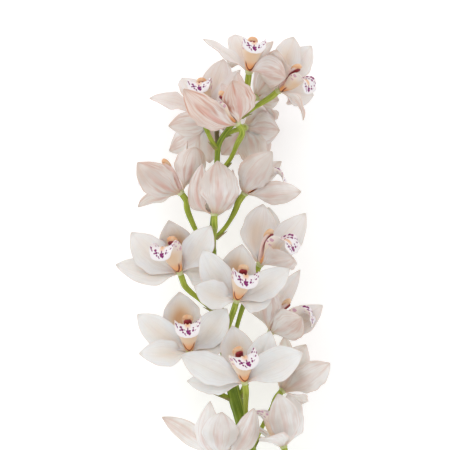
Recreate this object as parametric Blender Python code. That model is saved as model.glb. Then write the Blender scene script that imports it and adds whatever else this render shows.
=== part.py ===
"""A cut cymbidium orchid stem, laid on a table: one green stalk that carries nineteen open blooms.

Lengths are in millimetres and angles in degrees. X runs across the stem, Y along it towards its tip and Z up
off the table. The origin lies on the table, under the middle of the whole stem.

A bloom has an axis, along which its column and lip stand, and a dorsal direction square to it. Its five tepals
leave its base round that axis and bend to the tips given for them, each clear of all that was placed before it.
"""

import math

import bmesh
import bpy
from mathutils import Matrix, Vector
from mathutils.bvhtree import BVHTree

MM = 0.001

BLADE = 0.9
LIP_BLADE = 0.9
SEAT_GAP = 0.3
CLEARANCE = 1.7
ROOT_ZONE = 7.5
SIBLING_ZONE = 14.0
CROSSING_WEIGHT = 3.0
TABLE_BEND = 3.0
TOUCHING = 0.7

HUB_RADIUS = 3.5
HUB_FRONT = 1.6
HUB_BACK = -2.2
HUB_SIDES = 6
HUB_TAPER = 0.86

# A tepal's root sits inside the hub. By these shares of its length its face has turned and it is fully cupped.
ROOT_OUT = 1.2
ROOT_BACK = 0.4
FACE_TURNS_BY = 0.4
CUPS_BY = 0.3

PEDICEL_RADIUS = 1.9
PEDICEL_FOOT_SWELL = 0.6
PEDICEL_FOOT_SHARE = 0.2
OVARY_SWELL = 0.7
OVARY_FROM = 0.55
OVARY_FULL = 0.85
OVARY_LENGTH = 8.0

SPINE_STEPS = 40
TEPAL_ROWS = 5
TEPAL_COLUMNS = 4
LIP_ROWS = 6
LIP_COLUMNS = 4
COLUMN_SIDES = 6
PEDICEL_SIDES = 5
PEDICEL_RINGS = 5
RACHIS_SIDES = 8
RACHIS_RINGS = 17

# Half the width of a tepal along it, as a share of its greatest half width.
TEPAL_OUTLINE = [(0.0, 0.12), (0.2, 0.38), (0.4, 0.86), (0.58, 1.0), (0.8, 0.82), (0.92, 0.48), (1.0, 0.08)]

# The tepals of a bloom, in the order in which they find their room.
TEPAL_KINDS = ["dorsal", "left_petal", "right_petal", "left_sepal", "right_sepal"]

# The lip from its root to its tip: station, half width, half angle of its trough, turn away from the axis.
LIP_OUTLINE = [
    (0.0, 3.0, 62, 34),
    (0.16, 6.8, 80, 26),
    (0.34, 11.8, 84, 10),
    (0.5, 14.2, 84, 2),
    (0.62, 13.0, 66, 22),
    (0.74, 10.6, 34, 88),
    (0.88, 9.6, 14, 128),
    (1.0, 4.6, 6, 150),
]
LIP_LENGTH = 46.5
LIP_ROOT_DROP = 2.3

# The column: distance along the axis, height towards the dorsal side, half width, half thickness.
COLUMN_RINGS = [
    (0.7, 1.3, 1.7, 1.6),
    (8.0, 4.0, 2.8, 2.0),
    (17.0, 5.4, 3.6, 2.4),
    (24.0, 5.0, 4.3, 3.1),
    (29.4, 3.8, 2.8, 2.0),
]

# The stalk's centre line from the cut end to the tip, with its radius: x, y, z, radius.
RACHIS = [
    (41.0, -259.0, 5.8, 6.2),
    (38.5, -215.0, 11.5, 6.0),
    (32.0, -160.0, 31.0, 5.8),
    (21.3, -99.5, 48.0, 5.7),
    (13.6, -69.8, 52.0, 5.6),
    (6.8, -44.3, 54.0, 5.5),
    (0.9, -14.5, 55.5, 4.8),
    (-5.1, 23.8, 56.0, 4.2),
    (-11.0, 74.8, 56.0, 3.3),
    (-8.5, 113.0, 55.0, 2.8),
    (-6.8, 151.3, 54.0, 2.4),
    (-4.4, 167.0, 53.5, 2.3),
    (7.7, 183.6, 53.0, 2.2),
    (15.3, 190.0, 53.0, 2.0),
]


def tepal(tip, show, width, cupping=26.0, opening=58.0, bow=0.38):
    """A tepal's values. tip is where it ends, from the bloom's base. show turns its inner face up off the table,
    or down if it is negative. It leaves the base at its opening from the bloom's axis, and bow is how long it
    keeps to that direction."""
    return {"tip": Vector(tip), "show": show, "width": width, "cupping": cupping, "opening": opening, "bow": bow}


def bloom(place, facing, rise, lean, size, pedicel, joins, lip=1.0, *, tepals):
    """One bloom's values. facing turns it round the stem from the side away from the table, rise tilts its
    axis up along the stem, and lean turns it in the plane of the table, to the right. pedicel holds points
    between the bloom and the stalk, which it joins at the height joins along Y."""
    return {
        "place": Vector(place),
        "facing": facing,
        "rise": rise,
        "lean": lean,
        "size": size,
        "pedicel": [Vector(point) for point in pedicel],
        "joins": joins,
        "lip": lip,
        "tepals": tepals,
    }


# The blooms, those that lie nearest the eye first, because each one makes room for those before it.
BLOOMS = {
    "13": bloom(
        (9.8, 32.3, 82), 8, 62, 10, 1.0, [(3, 12, 70)], -10,
        tepals={
            "dorsal": tepal((4.7, 46.3, 6), 0.55, 32, 50, 62, 0.5),
            "left_petal": tepal((-25, 46, 2), 0.8, 26),
            "right_petal": tepal((44.6, 27, 6), 0.8, 25),
            "left_sepal": tepal((-38, 12, 12), 0.75, 25, 24, 84, 0.3),
            "right_sepal": tepal((30, 2, 2), 0.6, 25, 24, 84, 0.3),
        },
    ),
    "15": bloom(
        (-30.2, -11.1, 78), 0, 64, -3, 1.0, [(-26, -28, 66), (-14, -44, 57)], -55,
        tepals={
            "dorsal": tepal((-8.3, 50.6, 6), 0.6, 33, 46, 62, 0.5),
            "left_petal": tepal((-44, 31.5, 2), 0.85, 26),
            "right_petal": tepal((32, 36.5, 0), 0.85, 28),
            "left_sepal": tepal((-43, -1, 14), 0.8, 24, 24, 84, 0.3),
            "right_sepal": tepal((32, 10, 6), 0.8, 25, 24, 80, 0.3),
        },
    ),
    "16": bloom(
        (16.6, -36.6, 86), 12, 60, -16, 1.0, [(17.5, -52, 70), (18.0, -66, 61)], -82,
        tepals={
            "dorsal": tepal((-10.2, 47.2, 6), 0.5, 28, 48, 62, 0.5),
            "left_petal": tepal((-54, 23, 4), 0.9, 27, 24, 64, 0.34),
            "right_petal": tepal((16.8, 45, -6), 0.8, 25),
            "left_sepal": tepal((-48.9, 0.9, -4), 0.8, 20, 24, 96, 0.36),
            "right_sepal": tepal((48.9, 24.6, 8), 0.95, 30),
        },
    ),
    "11": bloom(
        (-38.3, 56.0, 76), -25, 62, -6, 1.0, [(-34, 42, 66)], 18,
        tepals={
            "dorsal": tepal((-9.4, 43.4, 10), 0.4, 30, 50, 62, 0.55),
            "left_petal": tepal((-37.5, 38, 0), 0.9, 30),
            "right_petal": tepal((27, 40.8, 0), 0.85, 27),
            "left_sepal": tepal((-53.5, 6.8, 10), 0.75, 26, 24, 88, 0.34),
            "right_sepal": tepal((32, -3.4, -4), 0.8, 28, 24, 84, 0.3),
        },
    ),
    "01": bloom(
        (20.5, 226.2, 72), 4, 70, 6, 0.92, [(19, 210, 64)], 189,
        tepals={
            "dorsal": tepal((-12, 33, -26), 0.0, 24),
            "left_petal": tepal((-39, 27.2, -4), 0.1, 15, 20, 50, 0.4),
            "right_petal": tepal((21, 26, -8), -0.5, 26),
            "left_sepal": tepal((-15, 7, -40), 0.0, 24),
            "right_sepal": tepal((31, -6, 14), -0.75, 30),
        },
    ),
    "09": bloom(
        (-9.0, 105.4, 84), 180, 84, 0, 0.95, [(-8, 95, 76)], 74, 0.75,
        tepals={
            "dorsal": tepal((2.6, 44, 4), -0.8, 34, 40, 70, 0.55),
            "left_petal": tepal((15, 38, -2), -0.6, 28, 40, 74, 0.55),
            "right_petal": tepal((-6.4, 43, -6), -0.6, 28, 40, 74, 0.55),
            "left_sepal": tepal((25, 15, -28), -0.4, 26),
            "right_sepal": tepal((-20, 15, -32), -0.4, 24),
        },
    ),
    "18": bloom(
        (-2.6, -99.5, 86), 180, 80, 6, 1.0, [(2, -114, 76)], -138, 0.8,
        tepals={
            "dorsal": tepal((0, 38, 10), -0.8, 30, 40, 70, 0.55),
            "left_petal": tepal((26.9, 40.8, 0), -0.6, 26, 36, 70, 0.5),
            "right_petal": tepal((-9, 46, 0), -0.6, 34, 40, 78, 0.6),
            "left_sepal": tepal((18, 30, -12), -0.3, 24),
            "right_sepal": tepal((-54, 33, -30), -0.5, 19),
        },
    ),
    "05": bloom(
        (10.2, 181.9, 92), -66, 56, -6, 0.95, [(10.0, 166.0, 74), (6, 152, 62)], 138, 0.85,
        tepals={
            "dorsal": tepal((-1.2, 42.5, -6), 0.0, 26, 30, 70, 0.6),
            "left_petal": tepal((-14, 34, -14), 0.0, 22),
            "right_petal": tepal((-4.3, 37, 14), -0.9, 30),
            "left_sepal": tepal((-40, 16, -10), -0.2, 22),
            "right_sepal": tepal((-47.6, 26.4, 26), -0.8, 27, 26, 64, 0.42),
        },
    ),
    "08": bloom(
        (-37.9, 123.7, 60), -88, 52, 0, 1.0, [(-34, 112, 56), (-26, 93, 55)], 62,
        tepals={
            "dorsal": tepal((11.6, 39, 4), -0.65, 28, 30, 66, 0.5),
            "left_petal": tepal((5, 46, -16), 0.0, 24),
            "right_petal": tepal((-37.7, 26.4, 14), -0.8, 29),
            "left_sepal": tepal((-34.7, 7, -16), -0.6, 22),
            "right_sepal": tepal((-37, -10.7, 4), 0.0, 20, 26, 64, 0.5),
        },
    ),
    "12": bloom(
        (29.8, 62.8, 68), 55, 52, -6, 1.0, [(22, 44, 64), (14, 24, 60), (7, -2, 58)], -24,
        tepals={
            "dorsal": tepal((2.6, 51, -2), 0.4, 32, 40, 66, 0.5),
            "left_petal": tepal((9, 55, -24), 0.5, 28),
            "right_petal": tepal((33.6, 46, -12), 0.8, 27),
            "left_sepal": tepal((30, 6, 20), -0.7, 32, 26, 50, 0.5),
            "right_sepal": tepal((42.3, 18, -18), 0.6, 24),
        },
    ),
    "10": bloom(
        (17.0, 123.2, 64), 86, 52, 0, 0.95, [(10, 110, 60), (0, 92, 57)], 82,
        tepals={
            "dorsal": tepal((14.5, 34, -4), 0.0, 26, 30, 70, 0.6),
            "left_petal": tepal((23, 35, 12), -0.8, 30, 30, 66, 0.5),
            "right_petal": tepal((30.6, 34.4, -16), 0.0, 22),
            "left_sepal": tepal((49, 6, 8), -0.65, 24),
            "right_sepal": tepal((35, 12, -18), 0.0, 22),
        },
    ),
    "14": bloom(
        (39.4, 5.0, 60), 80, 50, 0, 1.0, [(29, -14, 57), (20, -32, 55)], -58,
        tepals={
            "dorsal": tepal((-7.6, 46, -10), 0.0, 26, 30, 66, 0.5),
            "left_petal": tepal((-4.3, 41, 12), -0.8, 30, 30, 66, 0.5),
            "right_petal": tepal((25, 52.7, -8), 0.2, 22),
            "left_sepal": tepal((26, 13, 26), -0.85, 30),
            "right_sepal": tepal((44.4, 23, -4), 0.8, 26),
        },
    ),
    "02": bloom(
        (45.9, 210.8, 62), 52, 44, 10, 0.92, [(34, 202, 60)], 187, 0.92,
        tepals={
            "dorsal": tepal((12.6, 46, -8), 0.4, 26),
            "left_petal": tepal((-1.7, 39, 10), -0.7, 26),
            "right_petal": tepal((30, 41, -10), 0.85, 27),
            "left_sepal": tepal((21, -26, 14), -0.4, 22, 26, 48, 0.62),
            "right_sepal": tepal((31.5, -4.3, -8), 0.8, 26),
        },
    ),
    "04": bloom(
        (-17.9, 192.1, 56), -6, 72, -4, 0.92, [(-18, 184, 55), (-13, 170, 58)], 160,
        tepals={
            "dorsal": tepal((16.6, 46, -8), 0.6, 26),
            "left_petal": tepal((-18.7, 32, -34), 0.0, 24),
            "right_petal": tepal((31.5, 36.5, 6), 0.2, 24),
            "left_sepal": tepal((-46, 13, 8), 0.4, 22),
            "right_sepal": tepal((20, 14, 14), 0.2, 20),
        },
    ),
    "19": bloom(
        (49.7, -91.9, 70), -96, 72, 0, 1.0, [(49, -106, 62), (44, -122, 50)], -152,
        tepals={
            "dorsal": tepal((3, 44, -4), -0.5, 28, 36, 70, 0.5),
            "left_petal": tepal((2, 40, -24), 0.0, 26),
            "right_petal": tepal((-5, 46.6, 12), -0.85, 28, 36, 60, 0.45),
            "left_sepal": tepal((-24, 16, -32), 0.0, 24),
            "right_sepal": tepal((-28.5, 11, 12), -0.6, 26),
        },
    ),
    "17": bloom(
        (49.3, -46.0, 42), 118, 44, 0, 1.0, [(42, -60, 38), (32, -76, 38)], -100, 0.7,
        tepals={
            "dorsal": tepal((2, 46, -14), -0.3, 28),
            "left_petal": tepal((20, 40, 12), -0.5, 26),
            "right_petal": tepal((20, 24, -40), -0.2, 26),
            "left_sepal": tepal((42, 25, 16), -0.6, 26, 26, 66, 0.45),
            "right_sepal": tepal((16, -14, -54), -0.4, 26),
        },
    ),
    "07": bloom(
        (-10.2, 185.3, 32), -148, 14, 0, 0.95, [(-8, 176, 42)], 164,
        tepals={
            "dorsal": tepal((-5, 34, -22), -0.7, 28),
            "left_petal": tepal((28, 8, -26), -0.5, 26),
            "right_petal": tepal((-38, -3.4, -10), -0.5, 24),
            "left_sepal": tepal((-3.4, -37, -8), -0.8, 26),
            "right_sepal": tepal((-30, -22, -48), -0.8, 30),
        },
    ),
    "06": bloom(
        (17.0, 180.0, 34), 160, 10, 0, 0.95, [(10, 178, 45)], 172,
        tepals={
            "dorsal": tepal((24, 15, -52), -0.8, 30),
            "left_petal": tepal((30, -2.5, -10), -0.9, 32),
            "right_petal": tepal((-18, -21, -26), -0.8, 26),
            "left_sepal": tepal((17, -26, -22), -0.8, 28),
            "right_sepal": tepal((3, -34, -6), -0.9, 28),
        },
    ),
    "03": bloom(
        (27.0, 205.7, 42), 115, 32, 0, 0.9, [(22, 197, 47)], 188,
        tepals={
            "dorsal": tepal((4, 40, -14), -0.2, 24),
            "left_petal": tepal((20, 28, 8), -0.5, 20),
            "right_petal": tepal((26, 24, -28), 0.0, 24),
            "left_sepal": tepal((18, -2, 8), -0.6, 20),
            "right_sepal": tepal((16, -18, -34), 0.0, 24),
        },
    ),
}


def clear_scene():
    for item in list(bpy.data.objects):
        bpy.data.objects.remove(item, do_unlink=True)


def material(name, colour, roughness):
    made = bpy.data.materials.new(name)
    made.use_nodes = True
    shader = made.node_tree.nodes["Principled BSDF"]
    shader.inputs["Base Color"].default_value = (*colour, 1.0)
    shader.inputs["Roughness"].default_value = roughness
    shader.inputs["Metallic"].default_value = 0.0
    return made


def read_table(table, station):
    """The table's values at a station, in straight runs between its rows."""
    for low, high in zip(table, table[1:]):
        if station <= high[0]:
            share = (station - low[0]) / (high[0] - low[0])
            share = min(max(share, 0.0), 1.0)
            return [a + (b - a) * share for a, b in zip(low[1:], high[1:])]
    return list(table[-1][1:])


def smooth_path(points, steps):
    """Points on a smooth curve through the given ones, which are tuples or vectors of any length."""
    rows = [list(point) for point in points]
    rows = [[2 * a - b for a, b in zip(rows[0], rows[1])]] + rows
    rows = rows + [[2 * a - b for a, b in zip(rows[-1], rows[-2])]]
    spans = len(rows) - 3
    path = []
    for step in range(steps + 1):
        reach = spans * step / steps
        span = min(int(reach), spans - 1)
        t = reach - span
        a, b, c, d = rows[span : span + 4]
        path.append(
            [
                0.5 * (2 * q + (r - p) * t + (2 * p - 5 * q + 4 * r - s) * t**2 + (3 * q - p - 3 * r + s) * t**3)
                for p, q, r, s in zip(a, b, c, d)
            ]
        )
    return path


def bloom_axes(flower):
    """The bloom's right, dorsal and axis directions."""
    facing = math.radians(flower["facing"])
    rise = math.radians(flower["rise"])
    outward = Vector((math.sin(facing), 0.0, math.cos(facing)))
    up = Vector((0.0, 1.0, 0.0))
    axis = up * math.sin(rise) + outward * math.cos(rise)
    dorsal = up * math.cos(rise) - outward * math.sin(rise)
    lean = Matrix.Rotation(-math.radians(flower["lean"]), 3, "Z")
    axis = lean @ axis
    dorsal = lean @ dorsal
    return dorsal.cross(axis), dorsal, axis


def above_table(point):
    """The point, raised where it comes near the table, so that a blade which reaches it bends and lies flat."""
    over = point.z - BLADE / 2
    if over < TABLE_BEND:
        point = point.copy()
        point.z = BLADE / 2 + max(over + TABLE_BEND, 0.0) ** 2 / (4 * TABLE_BEND)
    return point


def tepal_spine(flower, values):
    """Points along a tepal's midrib, each with its direction and the direction that its inner face looks."""
    axis = bloom_axes(flower)[2]
    tip = values["tip"]
    outward = (tip - axis * tip.dot(axis)).normalized()
    opening = math.radians(values["opening"])
    leaving = axis * math.cos(opening) + outward * math.sin(opening)
    start = flower["place"] + outward * ROOT_OUT - axis * ROOT_BACK
    end = flower["place"] + tip
    knee = start + leaving * tip.length * values["bow"]
    shown = Vector((0, 0, math.copysign(1, values["show"])))
    spine = []
    for step in range(SPINE_STEPS + 1):
        t = step / SPINE_STEPS
        point = start * (1 - t) ** 2 + knee * 2 * t * (1 - t) + end * t * t
        along = ((knee - start) * (1 - t) + (end - knee) * t).normalized()
        inward = axis - outward
        inward = (inward - along * inward.dot(along)).normalized()
        turned = min(t / FACE_TURNS_BY, 1.0)
        face = inward.lerp(shown, abs(values["show"]) * turned**2 * (3 - 2 * turned))
        face = (face - along * face.dot(along)).normalized()
        spine.append((point, along, face))
    return spine


def tepal_point(flower, values, spine, station, across):
    """A point of a tepal's middle surface, at a station from root to tip and from -1 to 1 across it."""
    half = 0.5 * values["width"] * flower["size"] * read_table(TEPAL_OUTLINE, station)[0]
    reach = station * SPINE_STEPS
    step = min(int(reach), SPINE_STEPS - 1)
    share = reach - step
    point = spine[step][0].lerp(spine[step + 1][0], share)
    along = spine[step][1]
    face = spine[step][2].lerp(spine[step + 1][2], share).normalized()
    side = face.cross(along).normalized()
    bend = max(math.radians(values["cupping"]) * min(station / CUPS_BY, 1.0), 0.01)
    lateral = math.sin(bend * across) / bend * half
    raised = (1 - math.cos(bend * across)) / bend * half
    return above_table(point + side * lateral + face * raised)


def lip_point(flower, station, across):
    """A point of the lip's middle surface."""
    right, dorsal, axis = bloom_axes(flower)
    scale = flower["size"] * flower["lip"]
    forward = HUB_FRONT + SEAT_GAP + LIP_BLADE / 2
    drop = LIP_ROOT_DROP
    pace = LIP_LENGTH * scale / SPINE_STEPS
    for step in range(int(round(station * SPINE_STEPS))):
        turn = math.radians(read_table(LIP_OUTLINE, (step + 0.5) / SPINE_STEPS)[2])
        forward += math.cos(turn) * pace
        drop += math.sin(turn) * pace
    half, trough, turn = read_table(LIP_OUTLINE, station)
    turn = math.radians(turn)
    bend = math.radians(trough)
    lateral = math.sin(bend * across) / bend * half * scale
    raised = (1 - math.cos(bend * across)) / bend * half * scale
    inward = dorsal * math.cos(turn) + axis * math.sin(turn)
    point = flower["place"] + axis * forward - dorsal * drop
    return above_table(point + right * lateral + inward * raised)


def sheet_mesh(name, rows, columns, place_point, pointed):
    """A grid of rows and columns whose points are placed by a rule, split into triangles. A pointed sheet runs to
    a point at both ends."""
    shape = bmesh.new()
    bmesh.ops.create_grid(shape, x_segments=columns, y_segments=rows, size=1.0)
    for vertex in shape.verts:
        station = (vertex.co.y + 1) / 2
        across = vertex.co.x
        vertex.co = place_point(station, across) * MM
    if pointed:
        every = list(shape.verts)
        for end in (every[: columns + 1], every[-(columns + 1) :]):
            bmesh.ops.pointmerge(shape, verts=end, merge_co=end[columns // 2].co.copy())
    bmesh.ops.triangulate(shape, faces=list(shape.faces))
    mesh = bpy.data.meshes.new(name)
    shape.to_mesh(mesh)
    shape.free()
    return mesh


def blade(name, mesh, thickness):
    """A closed blade: the sheet with its thickness spread evenly to both sides."""
    made = bpy.data.objects.new(name, mesh)
    bpy.context.scene.collection.objects.link(made)
    wall = made.modifiers.new("Blade", "SOLIDIFY")
    wall.thickness = thickness * MM
    wall.offset = 0.0
    wall.use_even_offset = False
    return made


def tube_mesh(name, path, sides, dorsal=None):
    """A closed tube along rows of x, y, z, radius and, where it is not round, its height."""
    shape = bmesh.new()
    rings = []
    aim = dorsal or Vector((0.0, 0.0, 1.0))
    points = [Vector(row[:3]) for row in path]
    for place, row in enumerate(path):
        before = points[max(place - 1, 0)]
        after = points[min(place + 1, len(points) - 1)]
        along = (after - before).normalized()
        across = along.cross(aim).normalized()
        upward = across.cross(along)
        radius = row[3]
        height = row[4] if len(row) > 4 else radius
        ring = []
        for side in range(sides):
            angle = 2 * math.pi * (side + 0.5) / sides
            offset = across * math.cos(angle) * radius + upward * math.sin(angle) * height
            ring.append(shape.verts.new((points[place] + offset) * MM))
        rings.append(ring)
    for low, high in zip(rings, rings[1:]):
        for side in range(sides):
            after = (side + 1) % sides
            shape.faces.new((low[side], low[after], high[after], high[side]))
    shape.faces.new(list(reversed(rings[0])))
    shape.faces.new(rings[-1])
    bmesh.ops.recalc_face_normals(shape, faces=list(shape.faces))
    bmesh.ops.triangulate(shape, faces=list(shape.faces))
    mesh = bpy.data.meshes.new(name)
    shape.to_mesh(mesh)
    shape.free()
    return mesh


def rachis_path(steps):
    return smooth_path(RACHIS, steps)


def rachis_at(height):
    """The stalk's centre where it passes a height along Y."""
    path = rachis_path(200)
    return min(path, key=lambda row: abs(row[1] - height))


def pedicel_path(flower):
    """A pedicel's centre line from inside the stalk to the bloom's back, where it widens into the ovary."""
    axis = bloom_axes(flower)[2]
    foot = rachis_at(flower["joins"])
    top = flower["place"] + axis * (HUB_BACK - SEAT_GAP)
    ovary = flower["place"] + axis * (HUB_BACK - SEAT_GAP - OVARY_LENGTH)
    points = [tuple(foot[:3])] + [tuple(point) for point in reversed(flower["pedicel"])] + [tuple(ovary)]
    rows = []
    for place, row in enumerate(smooth_path(points, PEDICEL_RINGS - 1) + [list(top)]):
        share = place / PEDICEL_RINGS
        foot_swell = PEDICEL_FOOT_SWELL * max(1 - share / PEDICEL_FOOT_SHARE, 0.0)
        top_share = min(max((share - OVARY_FROM) / (OVARY_FULL - OVARY_FROM), 0.0), 1.0)
        rows.append((*row, PEDICEL_RADIUS + foot_swell + OVARY_SWELL * top_share))
    return rows


def column_mesh(name, flower):
    _, dorsal, axis = bloom_axes(flower)
    rows = []
    for forward, height, half_width, half_height in COLUMN_RINGS:
        scale = flower["size"]
        point = flower["place"] + axis * (HUB_FRONT + SEAT_GAP + forward * scale) + dorsal * height * scale
        rows.append((*point, half_width * scale, half_height * scale))
    return tube_mesh(name, rows, COLUMN_SIDES, dorsal=dorsal)


def triangles(mesh):
    points = [vertex.co / MM for vertex in mesh.vertices]
    return points, [tuple(face.vertices) for face in mesh.polygons]


class Room:
    """What has been placed so far, for finding whether a new blade has room among it. The points from number kin
    on belong to the tepals of the bloom in hand, which may lie on each other near their common base."""

    def __init__(self):
        self.points = []
        self.faces = []
        self.tree = None
        self.kin = 0

    def add(self, mesh):
        points, faces = triangles(mesh)
        start = len(self.points)
        self.points += points
        self.faces += [tuple(start + corner for corner in face) for face in faces]
        self.tree = BVHTree.FromPolygons(self.points, self.faces)

    def forgives(self, reach, corner):
        """Whether a point of what is placed may be this near the base."""
        return corner >= self.kin and reach < SIBLING_ZONE

    def crowding(self, mesh, root):
        """How much a blade runs into what is placed, away from its own root."""
        points, faces = triangles(mesh)
        own = [face for face in faces if min((points[corner] - root).length for corner in face) > ROOT_ZONE]
        middles = [sum((points[corner] for corner in face), Vector()) / 3 for face in own]
        tree = BVHTree.FromPolygons(points, own)
        total = 0.0
        for near, far in tree.overlap(self.tree):
            if not self.forgives((middles[near] - root).length, self.faces[far][0]):
                total += CROSSING_WEIGHT
        spots = middles + [points[corner] for face in own for corner in face]
        for spot in spots:
            found = self.tree.find_nearest(spot, CLEARANCE)
            if found[0] is not None and not self.forgives((spot - root).length, self.faces[found[2]][0]):
                total += CLEARANCE - found[3]
        low = [min(spot[i] for spot in spots) - CLEARANCE for i in range(3)]
        high = [max(spot[i] for spot in spots) + CLEARANCE for i in range(3)]
        for number, spot in enumerate(self.points):
            reach = (spot - root).length
            if reach > ROOT_ZONE and all(low[i] < spot[i] < high[i] for i in range(3)):
                found = tree.find_nearest(spot, CLEARANCE)
                if found[0] is not None and not self.forgives(reach, number):
                    total += CLEARANCE - found[3]
        return total


# How a crowded tepal moves its tip, in this order and then in ever larger steps: first up or down, which
# keeps its outline as seen from above, then sideways. The last number turns its face.
BENDS = [
    (0, 0, 5, 0), (0, 0, -5, 0), (0, 0, 5, 0.2), (0, 0, 5, -0.2), (0, 0, -5, 0.2), (0, 0, -5, -0.2),
    (2, 2, 4, 0), (-2, 2, 4, 0), (2, -2, 4, 0), (-2, -2, 4, 0), (2, 2, -4, 0), (-2, 2, -4, 0), (2, -2, -4, 0),
    (-2, -2, -4, 0), (3, 0, 5, 0.2), (-3, 0, 5, 0.2), (3, 0, -5, -0.2), (-3, 0, -5, -0.2), (4, 2, 0, 0),
    (-4, 2, 0, 0), (4, -2, 0, 0), (-4, -2, 0, 0),
]
BEND_STEPS = 6


def place_tepal(flower, kind, room):
    """The tepal's sheet, bent by the first change of the list that brings it clear of what is placed."""
    best = None
    changes = [(0, 0, 0, 0)] + [tuple(step * v for v in bend) for step in range(1, BEND_STEPS + 1) for bend in BENDS]
    for change in changes:
        values = dict(flower["tepals"][kind])
        length = values["tip"].length
        values["tip"] = (values["tip"] + Vector(change[:3])).normalized() * length
        values["show"] = min(max(values["show"] + change[3], -1.0), 1.0)
        spine = tepal_spine(flower, values)
        mesh = sheet_mesh(
            kind, TEPAL_ROWS, TEPAL_COLUMNS, lambda s, a: tepal_point(flower, values, spine, s, a), True
        )
        crowding = room.crowding(mesh, flower["place"])
        if best is None or crowding < least:
            best = mesh
            least = crowding
        if crowding == 0:
            break
    return best


def join(base, pieces):
    """One body from a base and the pieces that cross it. The exact solver leaves bodies here that touch themselves
    along an edge, so the solver for closed meshes joins them."""
    group = bpy.data.collections.new("Pieces")
    bpy.context.scene.collection.children.link(group)
    for piece in pieces:
        bpy.context.scene.collection.objects.unlink(piece)
        group.objects.link(piece)
    union = base.modifiers.new("Union", "BOOLEAN")
    union.operation = "UNION"
    union.operand_type = "COLLECTION"
    union.collection = group
    union.solver = "MANIFOLD"
    bpy.context.view_layer.update()
    seen = base.evaluated_get(bpy.context.evaluated_depsgraph_get())
    mesh = bpy.data.meshes.new_from_object(seen)
    base.modifiers.clear()
    base.data = mesh
    for piece in pieces:
        bpy.data.objects.remove(piece, do_unlink=True)
    bpy.data.collections.remove(group)


def link(name, mesh):
    made = bpy.data.objects.new(name, mesh)
    bpy.context.scene.collection.objects.link(made)
    return made


def hub(name, flower):
    axis = bloom_axes(flower)[2]
    middle = (HUB_FRONT + HUB_BACK) / 2
    depth = HUB_FRONT - HUB_BACK
    shape = bmesh.new()
    turn = axis.to_track_quat("Z", "Y").to_matrix().to_4x4()
    place = Matrix.Translation((flower["place"] + axis * middle) * MM) @ turn
    bmesh.ops.create_cone(
        shape,
        cap_ends=True,
        segments=HUB_SIDES,
        radius1=HUB_RADIUS * HUB_TAPER * MM,
        radius2=HUB_RADIUS * MM,
        depth=depth * MM,
        matrix=place,
    )
    mesh = bpy.data.meshes.new(name)
    shape.to_mesh(mesh)
    shape.free()
    return link(name, mesh)


def build_stem(finish, room):
    """The stalk and its nineteen pedicels, as one body."""
    rachis = link("stem", tube_mesh("stem", rachis_path(RACHIS_RINGS), RACHIS_SIDES))
    room.add(rachis.data)
    pedicels = []
    for name, flower in BLOOMS.items():
        mesh = tube_mesh("pedicel_" + name, pedicel_path(flower), PEDICEL_SIDES)
        room.add(mesh)
        pedicels.append(link("pedicel_" + name, mesh))
    join(rachis, pedicels)
    settle(rachis)
    rachis.data.materials.append(finish)


def build_heart(name, flower, finishes, room):
    """The bloom's lip and column."""
    sheet = sheet_mesh(
        name + "_lip", LIP_ROWS, LIP_COLUMNS, lambda s, a: lip_point(flower, s, a), False
    )
    room.add(sheet)
    lip = blade(name + "_lip", sheet, LIP_BLADE)
    lip.data.materials.append(finishes["lip"])
    mesh = column_mesh(name + "_column", flower)
    room.add(mesh)
    column = link(name + "_column", mesh)
    column.data.materials.append(finishes["column"])


def build_tepals(name, flower, finish, room):
    """The bloom's five tepals and the hub that holds them, as one body."""
    base = hub(name + "_tepals", flower)
    room.kin = len(room.points)
    pieces = []
    for kind in TEPAL_KINDS:
        mesh = place_tepal(flower, kind, room)
        room.add(mesh)
        pieces.append(blade(kind, mesh, BLADE))
    join(base, pieces)
    settle(base)
    base.data.materials.append(finish)


def settle(made):
    """Lays flat on the table what all but touches it."""
    for vertex in made.data.vertices:
        if vertex.co.z < TOUCHING * MM:
            vertex.co.z = 0.0


def build():
    clear_scene()
    finishes = {
        "tepals": material("Tepals", (0.86, 0.81, 0.78), 0.5),
        "lip": material("Lip", (0.85, 0.66, 0.52), 0.5),
        "column": material("Column", (0.42, 0.07, 0.1), 0.45),
        "stem": material("Stem", (0.26, 0.38, 0.06), 0.45),
    }
    room = Room()
    build_stem(finishes["stem"], room)
    for number, flower in BLOOMS.items():
        build_heart("bloom_" + number, flower, finishes, room)
    for number, flower in BLOOMS.items():
        build_tepals("bloom_" + number, flower, finishes["tepals"], room)


build()
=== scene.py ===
"""Dresses a cut cymbidium orchid stem that lies on a pale table and is seen from straight above.

Lengths are in millimetres and angles in degrees. X runs across the stem, Y along it towards its tip and Z up
off the table. Each bloom's tepals, lip and column, and the stalk, stand where their solids stand. A station
is how far along a piece a point is, 0 to 1, and across how far to its side, -1 to 1.
"""

import math
import random

import bpy
from mathutils import Matrix, Vector


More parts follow.
